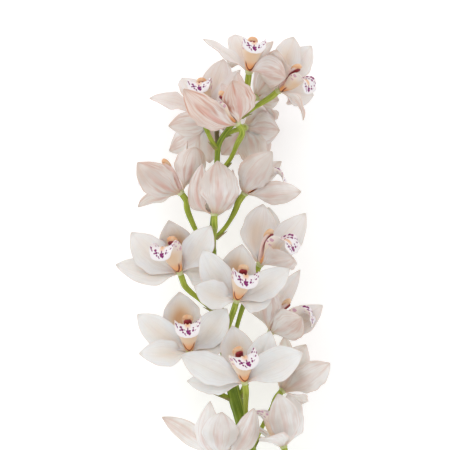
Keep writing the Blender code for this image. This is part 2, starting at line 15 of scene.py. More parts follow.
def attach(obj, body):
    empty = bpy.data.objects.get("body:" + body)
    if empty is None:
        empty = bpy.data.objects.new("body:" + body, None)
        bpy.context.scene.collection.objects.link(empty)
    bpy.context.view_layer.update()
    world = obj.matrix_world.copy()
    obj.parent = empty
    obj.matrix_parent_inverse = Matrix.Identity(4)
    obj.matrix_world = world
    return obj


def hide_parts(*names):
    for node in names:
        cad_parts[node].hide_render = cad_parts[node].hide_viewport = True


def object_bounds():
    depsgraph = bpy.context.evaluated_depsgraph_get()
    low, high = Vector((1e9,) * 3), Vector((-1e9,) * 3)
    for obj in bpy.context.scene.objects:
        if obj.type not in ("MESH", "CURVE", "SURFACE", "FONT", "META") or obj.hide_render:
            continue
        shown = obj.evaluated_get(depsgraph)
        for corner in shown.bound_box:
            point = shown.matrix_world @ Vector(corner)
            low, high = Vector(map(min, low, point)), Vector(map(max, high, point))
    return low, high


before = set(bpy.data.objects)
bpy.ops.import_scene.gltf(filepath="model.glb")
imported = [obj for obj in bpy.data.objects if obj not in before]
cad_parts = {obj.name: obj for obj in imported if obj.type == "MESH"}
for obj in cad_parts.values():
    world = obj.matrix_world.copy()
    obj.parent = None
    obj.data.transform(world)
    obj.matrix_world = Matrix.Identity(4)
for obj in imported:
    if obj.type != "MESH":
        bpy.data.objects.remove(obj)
solid_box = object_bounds()

MM = 0.001

# The shapes that the blooms share with their solids.
HUB_FRONT = 1.6
HUB_BACK = -2.2
SEAT_GAP = 0.3
TABLE_BEND = 3.0
SPINE_STEPS = 60
ROOT_OUT = 1.2
ROOT_BACK = 0.4
FACE_TURNS_BY = 0.4
CUPS_BY = 0.3

# A tepal's blade, the fold along its midrib, the waves of its margins and the curl of its tip.
BLADE = 0.9
BLADE_EDGE = 0.5
TEPAL_ROWS = 40
TEPAL_COLUMNS = 18
FOLD_DEPTH = 0.8
FOLD_WIDTH = 0.09
WAVES_FROM = 0.12
WAVES_TO = 0.97
WAVE_COUNTS = (1.0, 2.4)
WAVE_HEIGHTS = (0.8, 2.0)
OTHER_MARGIN = 0.31
MARGIN_UNEVEN = 0.04
UNEVEN_PACE = 2.3
TIP_CURL = 2.0
TIP_CURLS = (-0.3, 1.0)
CURLS_FROM = 0.7
# How much of a bloom's warm painted hood shade its petals and side sepals get.
SIDE_HOOD_SHADE = 0.22
KNOB_STEPS = 18
KNOB_SIDES = 20

# A lip's blade, its two keels and its ruffled rim.
LIP_BLADE = 0.8
LIP_EDGE = 0.6
LIP_ROWS = 44
LIP_COLUMNS = 30
LIP_LENGTH = 46.5
LIP_ROOT_BACK = 0.6
LIP_ROOT_DROP = 2.3
KEEL_HEIGHT = 1.1
KEELS_FROM = 0.48
KEELS_TO = 0.84
KEEL_PLACE = 0.13
KEEL_WIDTH = 0.05
RUFFLE_HEIGHT = 0.9
RUFFLE_WAVES = 5.5
RUFFLES_FROM = 0.55
RUFFLES_FULL = 0.75
OTHER_RUFFLE = 0.4

COLUMN_STEPS = 36
COLUMN_SIDES = 20
CAP_STEPS = 20
CAP_SIDES = 18

# The pedicels, which swell into ovaries, and the stalk with its ribs, nodes and cut end.
PEDICEL_RADIUS = 1.9
PEDICEL_STEPS = 40
PEDICEL_FINE_STEPS = 480
PEDICEL_SIDES = 18
PEDICEL_TOP_IN = 0.2
# The bloom whose ovary is dark brown, its colour made darker still as painted shade where it lies hidden
# under other blooms.
SHADED_BROWN_OVARY = "07"
FOOT_SWELL = 0.6
FOOT_SHARE = 0.15
OVARY_SWELL = 0.8
OVARY_FROM = 0.45
OVARY_FULL = 0.62
OVARY_LENGTH = 8.0
RACHIS_STEPS = 220
RACHIS_SIDES = 54
RACHIS_RIBS = 9
RIB_HEIGHT = 0.035
BARE_NODES = [-176.0, -206.0, -238.0]
NODE_SWELL = 0.07
NODE_REACH = 2.6
END_RADIUS = 0.02
CUT_DEPTH = 1.2
CUT_FACING = -0.8

# The small pointed leaf at each pedicel's foot.
BRACT_BLADE = 0.5
BRACT_EDGE = 0.5
BRACT_ROWS = 12
BRACT_COLUMNS = 10
BRACT_FROM_STEP = 3
BRACT_LENGTH_STEPS = 9
BRACT_WRAP = 85
BRACT_TAPER = 0.6
BRACT_OFF = 0.5
BRACT_SPREAD = 0.9

DRAWN_LENGTH = 4.0
MERGE_WITHIN = 0.12
SMOOTH_UP_TO = 55

# The table, the light and the camera, in metres and watts.
TABLE_SIZE = 8.0
TABLE_HEIGHT = -0.0004
TABLE_GLOW = 0.3
SKY_STRENGTH = 0.9
KEY_PLACE = (-0.9, 0.9, 1.6)
KEY_AIM = (0.0, 0.1, 0.05)
KEY_SIZE = 0.9
KEY_POWER = 4.5
CAMERA_PLACE = (0.0, 0.096, 3.07)
CAMERA_LENS = 282.35
CAMERA_SENSOR = 36.0
CAMERA_REACH = 20.0

# Half the width of a tepal along it, as a share of its greatest half width.
TEPAL_OUTLINE = [
    (0.0, 0.12), (0.2, 0.38), (0.4, 0.86), (0.58, 1.02), (0.76, 0.9), (0.88, 0.6), (0.95, 0.3),
    (0.985, 0.12), (1.0, 0.03),
]

# The same of a dorsal sepal, which is broad up to its small point.
HOOD_OUTLINE = [
    (0.0, 0.12), (0.2, 0.46), (0.4, 0.94), (0.58, 1.12), (0.76, 1.06), (0.88, 0.78), (0.95, 0.42),
    (0.985, 0.14), (1.0, 0.03),
]

# The lip from its root to its tip: station, half width, half angle of its trough, turn away from the axis.
LIP_OUTLINE = [
    (0.0, 4.2, 70, 34),
    (0.08, 6.2, 76, 30),
    (0.16, 7.8, 80, 26),
    (0.34, 11.8, 84, 10),
    (0.5, 14.4, 84, 2),
    (0.62, 13.4, 66, 22),
    (0.74, 11.4, 34, 88),
    (0.86, 10.6, 16, 124),
    (0.93, 9.0, 11, 140),
    (0.975, 6.2, 8, 147),
    (1.0, 2.4, 6, 150),
]

# The column and its cap: distance along the axis, height to the dorsal side, half width, half thickness.
COLUMN_RINGS = [
    (-0.4, 1.3, 0.05, 0.05),
    (0.0, 1.3, 1.6, 1.5),
    (8.0, 4.0, 2.8, 2.0),
    (17.0, 5.4, 3.6, 2.4),
    (23.5, 4.9, 4.2, 3.0),
    (26.6, 4.1, 3.6, 2.6),
    (27.6, 3.7, 0.05, 0.05),
]
CAP_RINGS = [
    (19.4, 7.0, 0.05, 0.05),
    (21.0, 7.1, 3.0, 1.0),
    (24.0, 6.8, 4.7, 1.8),
    (26.8, 5.8, 4.7, 2.5),
    (28.9, 4.6, 3.4, 2.1),
    (29.7, 4.0, 0.05, 0.05),
]

# The knob from which a bloom's tepals spring: distance along the axis and radius.
KNOB_RINGS = [(-2.9, 0.05), (-2.7, 1.8), (-1.8, 2.9), (-0.4, 3.4), (0.8, 3.3), (1.5, 2.4), (1.9, 0.05)]

# The stalk's centre line from the cut end to the tip, with its radius: x, y, z, radius.
RACHIS = [
    (41.0, -259.0, 5.8, 6.2),
    (38.5, -215.0, 11.5, 6.0),
    (32.0, -160.0, 31.0, 5.8),
    (21.3, -99.5, 48.0, 5.7),
    (13.6, -69.8, 52.0, 5.6),
    (6.8, -44.3, 54.0, 5.5),
    (0.9, -14.5, 55.5, 4.8),
    (-5.1, 23.8, 56.0, 4.2),
    (-11.0, 74.8, 56.0, 3.3),
    (-8.5, 113.0, 55.0, 2.8),
    (-6.8, 151.3, 54.0, 2.4),
    (-4.4, 167.0, 53.5, 2.3),
    (7.7, 183.6, 53.0, 2.2),
    (15.3, 190.0, 53.0, 2.0),
]

# Colours, as linear red, green and blue.
FACE_WHITE = (0.86, 0.88, 0.875)
# A grey that stands in for soft shading, painted in cloudy patches over the inner faces.
FACE_SHADE_GREY = (0.79, 0.795, 0.785)
# A warm tan that stands in for the shade inside the hollow of the hood, painted more faintly on the other
# tepals.
FACE_HOOD_SHADE = (0.70, 0.48, 0.29)
FACE_ROSE = (0.78, 0.58, 0.53)
FACE_VEIN = (0.66, 0.58, 0.54)
FACE_ROOT = (0.78, 0.5, 0.3)
FACE_RIM = (0.76, 0.62, 0.55)
FACE_TIP = (0.5, 0.42, 0.36)
# The white of the backs, which also stands in for their painted highlights, and the grey that stands in for
# their painted shade.
BACK_WHITE = (0.88, 0.87, 0.86)
BACK_SHADE_GREY = (0.66, 0.63, 0.60)
BACK_ROSE = (0.65, 0.43, 0.35)
BACK_BAND = (0.58, 0.33, 0.26)
BACK_STRIPE = (0.68, 0.36, 0.30)
BACK_VEIN = (0.66, 0.56, 0.5)
BACK_ROOT = (0.72, 0.52, 0.33)
BACK_SCORCH = (0.42, 0.17, 0.10)
BACK_RIM = (0.68, 0.47, 0.40)
BACK_TIP = (0.45, 0.36, 0.3)
LIP_WHITE = (0.90, 0.87, 0.87)
LIP_LILAC = (0.88, 0.80, 0.83)
LIP_RIM = (0.84, 0.55, 0.68)
LIP_THROAT = (0.78, 0.50, 0.30)
LIP_KEEL = (0.88, 0.54, 0.34)
LIP_DEPTH = (0.55, 0.13, 0.04)
LIP_DOT = (0.23, 0.012, 0.14)
LIP_TAN = (0.80, 0.58, 0.40)
LIP_PALE = (0.89, 0.85, 0.83)
LIP_SIDE = (0.86, 0.76, 0.68)
LIP_ORANGE = (0.88, 0.40, 0.16)
LIP_VEIN = (0.72, 0.42, 0.26)
LIP_DOT_SEEN_THROUGH = (0.5, 0.1, 0.33)
LIP_LINE = (0.22, 0.035, 0.02)
COLUMN_PINK = (0.88, 0.72, 0.66)
COLUMN_ROSE = (0.86, 0.62, 0.58)
COLUMN_RED = (0.34, 0.03, 0.04)
COLUMN_MAROON = (0.20, 0.012, 0.025)
COLUMN_ROOT = (0.6, 0.2, 0.08)
COLUMN_TIP = (0.82, 0.48, 0.27)


def tepal(tip, show, width, cupping=26, opening=58, bow=0.38):
    """A tepal's values: where it ends, from the bloom's base, how far its face turns up off the table or
    down, its width, how far it is cupped, its opening from the bloom's axis and how long it keeps to it."""
    values = {"show": show, "width": width, "cupping": cupping, "opening": opening, "bow": bow}
    return {"tip": Vector(tip), **values}


def bloom(place, facing, rise, lean, size, pedicel, joins, lip, **tepals):
    """One bloom's values: its place, how it is turned, its size, its pedicel's bends, the height at which
    that joins the stalk, the size of its lip and the values of each of its tepals."""
    return {
        "place": Vector(place),
        "facing": facing,
        "rise": rise,
        "lean": lean,
        "size": size,
        "pedicel": pedicel,
        "joins": joins,
        "lip": lip,
        "tepals": {kind: tepal(*values) for kind, values in tepals.items()},
    }


BLOOMS = {
    "13": bloom(
        (9.8, 32.3, 82), 8, 62, 10, 1, [(3, 12, 70)], -10, 1,
        dorsal=((4.7, 46.3, 6), 0.55, 32, 50, 62, 0.5),
        left_petal=((-28.6, 42.5, 11.1), 1, 26),
        right_petal=((44.6, 27, 6), 0.8, 25),
        left_sepal=((-35.8, 12.3, 17.4), 0.95, 25, 24, 84, 0.3),
        right_sepal=((30, 2, 2), 0.6, 25, 24, 84, 0.3),
    ),
    "15": bloom(
        (-30.2, -11.1, 78), 0, 64, -3, 1, [(-26, -28, 66), (-14, -44, 57)], -55, 1,
        dorsal=((-8.3, 50.6, 6), 0.6, 33, 46, 62, 0.5),
        left_petal=((-43.7, 31.3, 6.9), 1, 26),
        right_petal=((31.8, 36.3, 5), 0.85, 28),
        left_sepal=((-41.4, -1, 18.3), 0.8, 24, 24, 84, 0.3),
        right_sepal=((32.5, 10.2, 1), 0.6, 25, 24, 80, 0.3),
    ),
    "16": bloom(
        (16.6, -36.6, 86), 12, 60, -16, 1, [(17.5, -52, 70), (18, -66, 61)], -82, 1,
        dorsal=((-10.2, 47.2, 6), 0.5, 28, 48, 62, 0.5),
        left_petal=((-54, 23, 4), 0.9, 27, 24, 64, 0.34),
        right_petal=((21.8, 43, 3.8), 1, 25),
        left_sepal=((-48.9, 0.9, -4), 0.8, 20, 24, 96, 0.36),
        right_sepal=((48.9, 24.6, 8), 0.95, 30),
    ),
    "11": bloom(
        (-38.3, 56, 76), -25, 62, -6, 1, [(-34, 42, 66)], 18, 1,
        dorsal=((-9.4, 43.4, 10), 0.4, 30, 50, 62, 0.55),
        left_petal=((-40.8, 33.5, 7.9), 0.9, 30),
        right_petal=((25.8, 39, 14.3), 0.85, 27),
        left_sepal=((-54.2, 6.9, 5.1), 0.55, 26, 24, 88, 0.34),
        right_sepal=((32, -3.4, -4), 0.8, 28, 24, 84, 0.3),
    ),
    "01": bloom(
        (20.5, 226.2, 72), 4, 70, 6, 0.92, [(19, 210, 64)], 189, 1,
        dorsal=((-12, 33, -26), 0, 24),
        left_petal=((-39.1, 27.3, 1), 0.3, 15, 20, 50, 0.4),
        right_petal=((21, 26, -8), -0.5, 26),
        left_sepal=((-15, 7, -40), 0, 24),
        right_sepal=((31, -6, 14), -0.75, 30),
    ),
    "09": bloom(
        (-9, 105.4, 84), 180, 84, 0, 0.95, [(-8, 95, 76)], 74, 0.75,
        dorsal=((2.6, 44, 4), -0.8, 34, 40, 70, 0.55),
        left_petal=((14.8, 37.5, -6.9), -0.4, 28, 40, 74, 0.55),
        right_petal=((-9.8, 42.4, -5.7), -0.6, 28, 40, 74, 0.55),
        left_sepal=((21, 14.3, -31.5), -0.6, 26),
        right_sepal=((-20, 15, -32), -0.4, 24),
    ),
    "18": bloom(
        (-2.6, -99.5, 86), 180, 80, 6, 1, [(2, -114, 76)], -138, 0.8,
        dorsal=((0, 38, 10), -0.8, 30, 40, 70, 0.55),
        left_petal=((26.9, 40.8, 0), -0.6, 26, 36, 70, 0.5),
        right_petal=((-8.9, 45.7, -5), -0.4, 34, 40, 78, 0.6),
        left_sepal=((17.1, 28.5, -16.2), -0.3, 24),
        right_sepal=((-50.5, 30.9, -37.4), -0.9, 19),
    ),
    "05": bloom(
        (10.2, 181.9, 92), -66, 56, -6, 0.95, [(10, 166, 74), (6, 152, 62)], 138, 0.85,
        dorsal=((-1.2, 42.5, -6), 0, 26, 30, 70, 0.6),
        left_petal=((-14, 34, -14), 0, 22),
        right_petal=((-4.1, 35.2, 18.1), -1, 30),
        left_sepal=((-40.8, 16.3, -5.1), -0.2, 22),
        right_sepal=((-44.7, 27.8, 29.4), -0.8, 27, 26, 64, 0.42),
    ),
    "08": bloom(
        (-37.9, 123.7, 60), -88, 52, 0, 1, [(-34, 112, 56), (-26, 93, 55)], 62, 1,
        dorsal=((11.6, 39, 4), -0.65, 28, 30, 66, 0.5),
        left_petal=((4.8, 44.3, -20.2), -0.2, 24),
        right_petal=((-36.4, 25.5, 18.4), -0.8, 29),
        left_sepal=((-32.8, 6.6, -19.8), -0.4, 22),
        right_sepal=((-36.8, -10.6, -6), -0.4, 20, 26, 64, 0.5),
    ),
    "12": bloom(
        (29.8, 62.8, 68), 55, 52, -6, 1, [(22, 44, 64), (14, 24, 60), (7, -2, 58)], -24, 1,
        dorsal=((2.6, 51, -2), 0.4, 32, 40, 66, 0.5),
        left_petal=((8, 49.1, -34.8), 1, 28),
        right_petal=((38.7, 43.3, -4.1), 0.8, 27),
        left_sepal=((27.8, 5.6, 23.1), -0.5, 32, 26, 50, 0.5),
        right_sepal=((32.7, 17.7, -32.4), 0, 24),
    ),
    "10": bloom(
        (17, 123.2, 64), 86, 52, 0, 0.95, [(10, 110, 60), (0, 92, 57)], 82, 1,
        dorsal=((14.5, 34, -4), 0, 26, 30, 70, 0.6),
        left_petal=((23, 35, 12), -0.8, 30, 30, 66, 0.5),
        right_petal=((31.7, 27.5, -24.8), -0.6, 22),
        left_sepal=((47.8, 1.8, 14.4), -0.65, 24),
        right_sepal=((38.7, 3, -13.7), 0, 22),
    ),
    "14": bloom(
        (39.4, 5, 60), 80, 50, 0, 1, [(29, -14, 57), (20, -32, 55)], -58, 1,
        dorsal=((-7.6, 46, -10), 0, 26, 30, 66, 0.5),
        left_petal=((-4.1, 39.5, 16.4), -0.8, 30, 30, 66, 0.5),
        right_petal=((25, 52.7, -8), 0.2, 22),
        left_sepal=((26, 13, 26), -0.85, 30),
        right_sepal=((43.8, 22.7, -8.9), 0.6, 26),
    ),
    "02": bloom(
        (45.9, 210.8, 62), 52, 44, 10, 0.92, [(34, 202, 60)], 187, 0.92,
        dorsal=((12.6, 46, -8), 0.4, 26),
        left_petal=((-1.5, 33.9, 21.7), -0.7, 26),
        right_petal=((28.5, 38.9, -19), 1, 27),
        left_sepal=((21, -26, 14), -0.4, 22, 26, 48, 0.62),
        right_sepal=((30.1, -4.1, -12.4), 1, 26),
    ),
    "04": bloom(
        (-17.9, 192.1, 56), -6, 72, -4, 0.92, [(-18, 184, 55), (-13, 170, 58)], 160, 1,
        dorsal=((16.6, 46, -8), 0.6, 26),
        left_petal=((-18.7, 32, -34), 0, 24),
        right_petal=((30.9, 35.9, 10.8), 0.4, 24),
        left_sepal=((-46, 13, 8), 0.4, 22),
        right_sepal=((18.2, 12.7, 17.3), 0.4, 20),
    ),
    "19": bloom(
        (49.7, -91.9, 70), -96, 72, 0, 1, [(49, -106, 62), (44, -122, 50)], -152, 1,
        dorsal=((3, 44.2, 1), -0.5, 28, 36, 70, 0.5),
        left_petal=((2, 40, -24), 0, 26),
        right_petal=((-4.9, 45.2, 16.5), -0.85, 28, 36, 60, 0.45),
        left_sepal=((-28.5, 19, -26.1), -0.4, 24),
        right_sepal=((-14.4, 9.6, 27.9), 0.2, 26),
    ),
    "17": bloom(
        (49.3, -46, 42), 118, 44, 0, 1, [(42, -60, 38), (32, -76, 38)], -100, 0.7,
        dorsal=((2, 46, -14), -0.3, 28),
        left_petal=((20, 40, 12), -0.5, 26),
        right_petal=((20, 24, -40), -0.2, 26),
        left_sepal=((40.6, 24.2, 20.3), -0.6, 26, 26, 66, 0.45),
        right_sepal=((16, -14, -54), -0.4, 26),
    ),
    "07": bloom(
        (-10.2, 185.3, 32), -148, 14, 0, 0.95, [(-8, 176, 42)], 164, 1,
        dorsal=((-5, 34, -22), -0.7, 28),
        left_petal=((25.7, 7.3, -28.5), -0.5, 26),
        right_petal=((-38, -3.4, -10), -0.5, 24),
        left_sepal=((-3.3, -35.7, -12.6), -0.8, 26),
        right_sepal=((-38.3, -25, -40), -0.8, 30),
    ),
    "06": bloom(
        (17, 180, 34), 160, 10, 0, 0.95, [(10, 178, 45)], 172, 1,
        dorsal=((24, 15, -52), -0.8, 30),
        left_petal=((30, -2.5, -10), -0.9, 32),
        right_petal=((-19.7, -23, -23), -0.8, 26),
        left_sepal=((18.3, -27.9, -18.3), -0.8, 28),
        right_sepal=((8.8, -33.3, 3.9), -0.5, 28),
    ),
    "03": bloom(
        (27, 205.7, 42), 115, 32, 0, 0.9, [(22, 197, 47)], 188, 1,
        dorsal=((4, 40, -14), -0.2, 24),
        left_petal=((19.9, 27.1, 10.8), -0.5, 20),
        right_petal=((26, 24, -28), 0, 24),
        left_sepal=((19.4, -2.2, 3.2), -0.6, 20),
        right_sepal=((16, -18, -34), 0, 24),
    ),
}


# How pink each bloom is, and how strong the warm tan painted shade inside its hood is.
BLUSH_AND_HOOD_SHADE = {
    "01": (0.6, 0.5), "02": (0.5, 0.7), "03": (0.45, 0.9), "04": (0.75, 0.3), "05": (1.2, 0.3),
    "06": (0.5, 0.2), "07": (0.5, 0.2), "08": (0.7, 0.3), "09": (0.65, 0.2), "10": (0.38, 0.3),
    "11": (0.2, 1.0), "12": (0.35, 0.5), "13": (0.15, 1.0), "14": (0.5, 0.7), "15": (0.1, 1.3),
    "16": (0.12, 0.6), "17": (0.35, 0.9), "18": (0.35, 0.4), "19": (0.3, 0.4),
}


# Shapes

def part_way(value, low, high):
    """How far a value is from low to high, kept within 0 and 1."""
    return min(max((value - low) / (high - low), 0.0), 1.0)


def step_and_share(reach, steps):
    """The step in which a place along a line lies, and how far through that step it is."""
    step = min(int(reach), steps - 1)
    return step, reach - step


def read_smooth(table, station):
    """The table's values at a station, on a smooth curve through its rows."""
    last = len(table) - 1
    place = 0
    while place < last - 1 and station > table[place + 1][0]:
        place += 1
    low, high = table[place], table[place + 1]
    before = table[max(place - 1, 0)]
    after = table[min(place + 2, last)]
    span = high[0] - low[0]
    t = part_way(station, low[0], high[0])
    values = []
    for column in range(1, len(low)):
        start_slope = (high[column] - before[column]) / (high[0] - before[0]) * span
        end_slope = (after[column] - low[column]) / (after[0] - low[0]) * span
        values.append(
            low[column] * (2 * t**3 - 3 * t**2 + 1)
            + start_slope * (t**3 - 2 * t**2 + t)
            + high[column] * (3 * t**2 - 2 * t**3)
            + end_slope * (t**3 - t**2)
        )
    return values


def through_shares(t):
    """What each of four points adds to a curve that passes through the middle two."""
    return (
        (2 * t**2 - t - t**3) / 2,
        (2 - 5 * t**2 + 3 * t**3) / 2,
        (t + 4 * t**2 - 3 * t**3) / 2,
        (t**3 - t**2) / 2,
    )


def rounding_shares(t):
    """What each of four points adds to a curve that rounds off the middle two."""
    return (
        (1 - t) ** 3 / 6,
        (3 * t**3 - 6 * t**2 + 4) / 6,
        (3 * t + 3 * t**2 - 3 * t**3 + 1) / 6,
        t**3 / 6,
    )


def blended_path(rows, steps, shares):
    """Points on a curve, each of them blended from the four rows of numbers about it."""
    spans = len(rows) - 3
    path = []
    for step in range(steps + 1):
        span, t = step_and_share(spans * step / steps, spans)
        weights = shares(t)
        columns = zip(*rows[span : span + 4])
        path.append([sum(weight * value for weight, value in zip(weights, column)) for column in columns])
    return path


def smooth_path(points, steps):
    """Points on a smooth curve through the given ones."""
    before = [2 * a - b for a, b in zip(points[0], points[1])]
    after = [2 * a - b for a, b in zip(points[-1], points[-2])]
    return blended_path([before] + list(points) + [after], steps, through_shares)


def swept_path(points, steps):
    """Points on a curve that rounds off every corner of the given line and keeps its two ends."""
    return blended_path([points[0]] * 2 + points + [points[-1]] * 2, steps, rounding_shares)


def bloom_axes(flower):
    """The bloom's right, dorsal and axis directions."""
    facing = math.radians(flower["facing"])
    rise = math.radians(flower["rise"])
    outward = Vector((math.sin(facing), 0.0, math.cos(facing)))
    up = Vector((0.0, 1.0, 0.0))
    axis = up * math.sin(rise) + outward * math.cos(rise)
    dorsal = up * math.cos(rise) - outward * math.sin(rise)
    lean = Matrix.Rotation(-math.radians(flower["lean"]), 3, "Z")
    axis = lean @ axis
    dorsal = lean @ dorsal
    return dorsal.cross(axis), dorsal, axis


def above_table(point):
    """The point, raised where it comes near the table, so that a blade that reaches it lies flat on it."""
    over = point.z - BLADE / 2
    if over < TABLE_BEND:
        point = point.copy()
        point.z = BLADE / 2 + max(over + TABLE_BEND, 0.0) ** 2 / (4 * TABLE_BEND)
    return point


def tepal_spine(flower, values):
    """Points along a tepal's midrib, each with its direction and the direction that its inner face looks."""
    axis = bloom_axes(flower)[2]
    tip = values["tip"]
    outward = (tip - axis * tip.dot(axis)).normalized()
    opening = math.radians(values["opening"])
    leaving = axis * math.cos(opening) + outward * math.sin(opening)
    start = flower["place"] + outward * ROOT_OUT - axis * ROOT_BACK
    end = flower["place"] + tip
    knee = start + leaving * tip.length * values["bow"]
    shown = Vector((0, 0, math.copysign(1, values["show"])))
    spine = []
    for step in range(SPINE_STEPS + 1):
        t = step / SPINE_STEPS
        point = start * (1 - t) ** 2 + knee * 2 * t * (1 - t) + end * t * t
        along = ((knee - start) * (1 - t) + (end - knee) * t).normalized()
        inward = axis - outward
        inward = (inward - along * inward.dot(along)).normalized()
        turned = part_way(t, 0.0, FACE_TURNS_BY)
        face = inward.lerp(shown, abs(values["show"]) * turned**2 * (3 - 2 * turned))
        face = (face - along * face.dot(along)).normalized()
        spine.append((point, along, face))
    return spine


def tepal_point(flower, values, spine, wave, station, across):
    """A point of a tepal's middle surface, with its midrib's fold and the waves of its margins."""
    half = 0.5 * values["width"] * flower["size"] * read_smooth(wave["outline"], station)[0]
    step, share = step_and_share(station * SPINE_STEPS, SPINE_STEPS)
    point, along, face = (low.lerp(high, share) for low, high in zip(spine[step], spine[step + 1]))
    face.normalize()
    side = face.cross(along.normalized()).normalized()
    bend = max(math.radians(values["cupping"]) * part_way(station, 0.0, CUPS_BY), 0.01)
    lateral = math.sin(bend * across) / bend * half
    raised = (1 - math.cos(bend * across)) / bend * half
    swell = math.sin(math.pi * part_way(station, WAVES_FROM, WAVES_TO))
    raised -= FOLD_DEPTH * swell * math.exp(-((across / FOLD_WIDTH) ** 2))
    turn = math.tau * (wave["count"] * station + wave["phase"] + (OTHER_MARGIN if across > 0 else 0.0))
    raised += wave["height"] * abs(across) ** 2.5 * swell * math.sin(turn)
    lateral *= 1 + MARGIN_UNEVEN * swell * math.sin(UNEVEN_PACE * turn + wave["phase"] * 9)
    curl = TIP_CURL * wave["curl"] * part_way(station, CURLS_FROM, 1.0) ** 2
    return above_table(point + side * lateral + face * (raised - curl))


def lip_line(flower):
    """How far forward and how low the lip's middle runs, in even steps along it."""
    pace = LIP_LENGTH * flower["size"] * flower["lip"] / SPINE_STEPS
    forward = HUB_FRONT + SEAT_GAP + LIP_BLADE / 2 - LIP_ROOT_BACK
    drop = LIP_ROOT_DROP
    line = [(forward, drop)]
    for step in range(SPINE_STEPS):
        turn = math.radians(read_smooth(LIP_OUTLINE, (step + 0.5) / SPINE_STEPS)[2])
        forward += math.cos(turn) * pace
        drop += math.sin(turn) * pace
        line.append((forward, drop))
    return line


def lip_point(flower, axes, line, station, across):
    """A point of the lip's middle surface, with its two keels and its ruffled rim."""
    right, dorsal, axis = axes
    scale = flower["size"] * flower["lip"]
    step, share = step_and_share(station * SPINE_STEPS, SPINE_STEPS)
    forward, drop = (low * (1 - share) + high * share for low, high in zip(line[step], line[step + 1]))
    half, trough, turn = read_smooth(LIP_OUTLINE, station)
    turn = math.radians(turn)
    bend = math.radians(max(trough, 2))
    lateral = math.sin(bend * across) / bend * half
    raised = (1 - math.cos(bend * across)) / bend * half
    keel = math.exp(-(((abs(across) - KEEL_PLACE) / KEEL_WIDTH) ** 2))
    raised += KEEL_HEIGHT * keel * math.sin(math.pi * part_way(station, KEELS_FROM, KEELS_TO))
    ruffle = math.sin(math.tau * (RUFFLE_WAVES * station + (OTHER_RUFFLE if across > 0 else 0.0)))
    raised += RUFFLE_HEIGHT * ruffle * abs(across) ** 4 * part_way(station, RUFFLES_FROM, RUFFLES_FULL)
    inward = dorsal * math.cos(turn) + axis * math.sin(turn)
    point = flower["place"] + axis * forward - dorsal * drop
    return above_table(point + right * lateral * scale + inward * raised * scale)


def ring_rows(flower, rings):
    """Rows for a tube from rings given along the bloom's axis and towards its dorsal side."""
    _, dorsal, axis = bloom_axes(flower)
    rows = []
    for forward, height, half_width, half_height in rings:
        point = flower["place"] + axis * (HUB_FRONT + SEAT_GAP + forward * flower["size"])
        point += dorsal * height * flower["size"]
        rows.append((*point, half_width * flower["size"], half_height * flower["size"]))
    return rows


def rachis_at(height):
    """The stalk's centre where it passes a height along Y."""
    return min(smooth_path(RACHIS, 200), key=lambda row: abs(row[1] - height))[:3]


def ribbed(angle):
    """How much wider the stalk is at an angle round it, for its ribs."""
    return 1 + RIB_HEIGHT * math.cos(RACHIS_RIBS * angle)


def pedicel_rows(flower):
    """A pedicel's centre line from inside the stalk to the bloom's back, with its radius."""
    axis = bloom_axes(flower)[2]
    top = flower["place"] + axis * (HUB_BACK + PEDICEL_TOP_IN)
    ovary = flower["place"] + axis * (HUB_BACK - SEAT_GAP - OVARY_LENGTH)
    bends = [rachis_at(flower["joins"])] + flower["pedicel"][::-1] + [tuple(ovary), tuple(top)]
    path = swept_path(bends, PEDICEL_FINE_STEPS)
    lengths = [0.0]
    for low, high in zip(path, path[1:]):
        lengths.append(lengths[-1] + math.dist(low, high))
    rows = []
    place = 0
    for step in range(PEDICEL_STEPS + 1):
        share = step / PEDICEL_STEPS
        while place < len(path) - 1 and lengths[place] < share * lengths[-1]:
            place += 1
        foot = FOOT_SWELL * (1 - part_way(share, 0.0, FOOT_SHARE)) ** 2
        ovary_swell = OVARY_SWELL * math.sin(math.pi * OVARY_FULL * part_way(share, OVARY_FROM, 1.0))
        rows.append((*path[place], PEDICEL_RADIUS + foot + ovary_swell))
    return rows


def close_ends(rows):
    """The rows with each end drawn to a point."""
    return [(*rows[0][:3], END_RADIUS)] + rows + [(*rows[-1][:3], END_RADIUS)]


def bract_point(rows, station, across):
    """A point of the small pointed leaf that hugs a pedicel's foot on the side towards the cut end."""
    step, share = step_and_share(BRACT_FROM_STEP + BRACT_LENGTH_STEPS * station, len(rows) - 1)
    low, high = Vector(rows[step][:3]), Vector(rows[step + 1][:3])
    along = (high - low).normalized()
    under = Vector((0.0, -1.0, 0.0))
    under = (under - along * under.dot(along)).normalized()
    side = along.cross(under)
    angle = math.radians(BRACT_WRAP) * across * (1 - part_way(station, 0.0, 1.0)) ** BRACT_TAPER
    radius = rows[step][3] + BRACT_OFF + BRACT_SPREAD * station**2
    return low.lerp(high, share) + under * math.cos(angle) * radius + side * math.sin(angle) * radius


# Modelling

def sheet(name, columns, rows, place_point):
    """A grid whose points are placed by a rule from their share along, 0 to 1, and across, -1 to 1."""
    bpy.ops.object.select_all(action="DESELECT")
    bpy.ops.mesh.primitive_grid_add(x_subdivisions=columns, y_subdivisions=rows, size=2.0, calc_uvs=True)
    made = bpy.context.object
    made.name = name
    for vertex in made.data.vertices:
        vertex.co = place_point((vertex.co.y + 1) / 2, vertex.co.x) * MM
    return made


def finish_with(made, *finishes):
    """Puts the finishes on a piece, in their order."""
    for finish in finishes:
        made.data.materials.append(finish)


def paint_shade(made, shade):
    """Gives the whole sheet one shade: how pink, how strong the warm painted shade in the hood, and a number
    that sets its veins apart.
    """
    layer = made.data.attributes.new("shade", "FLOAT_COLOR", "POINT")
    layer.data.foreach_set("color", (*shade, 1.0) * len(made.data.vertices))


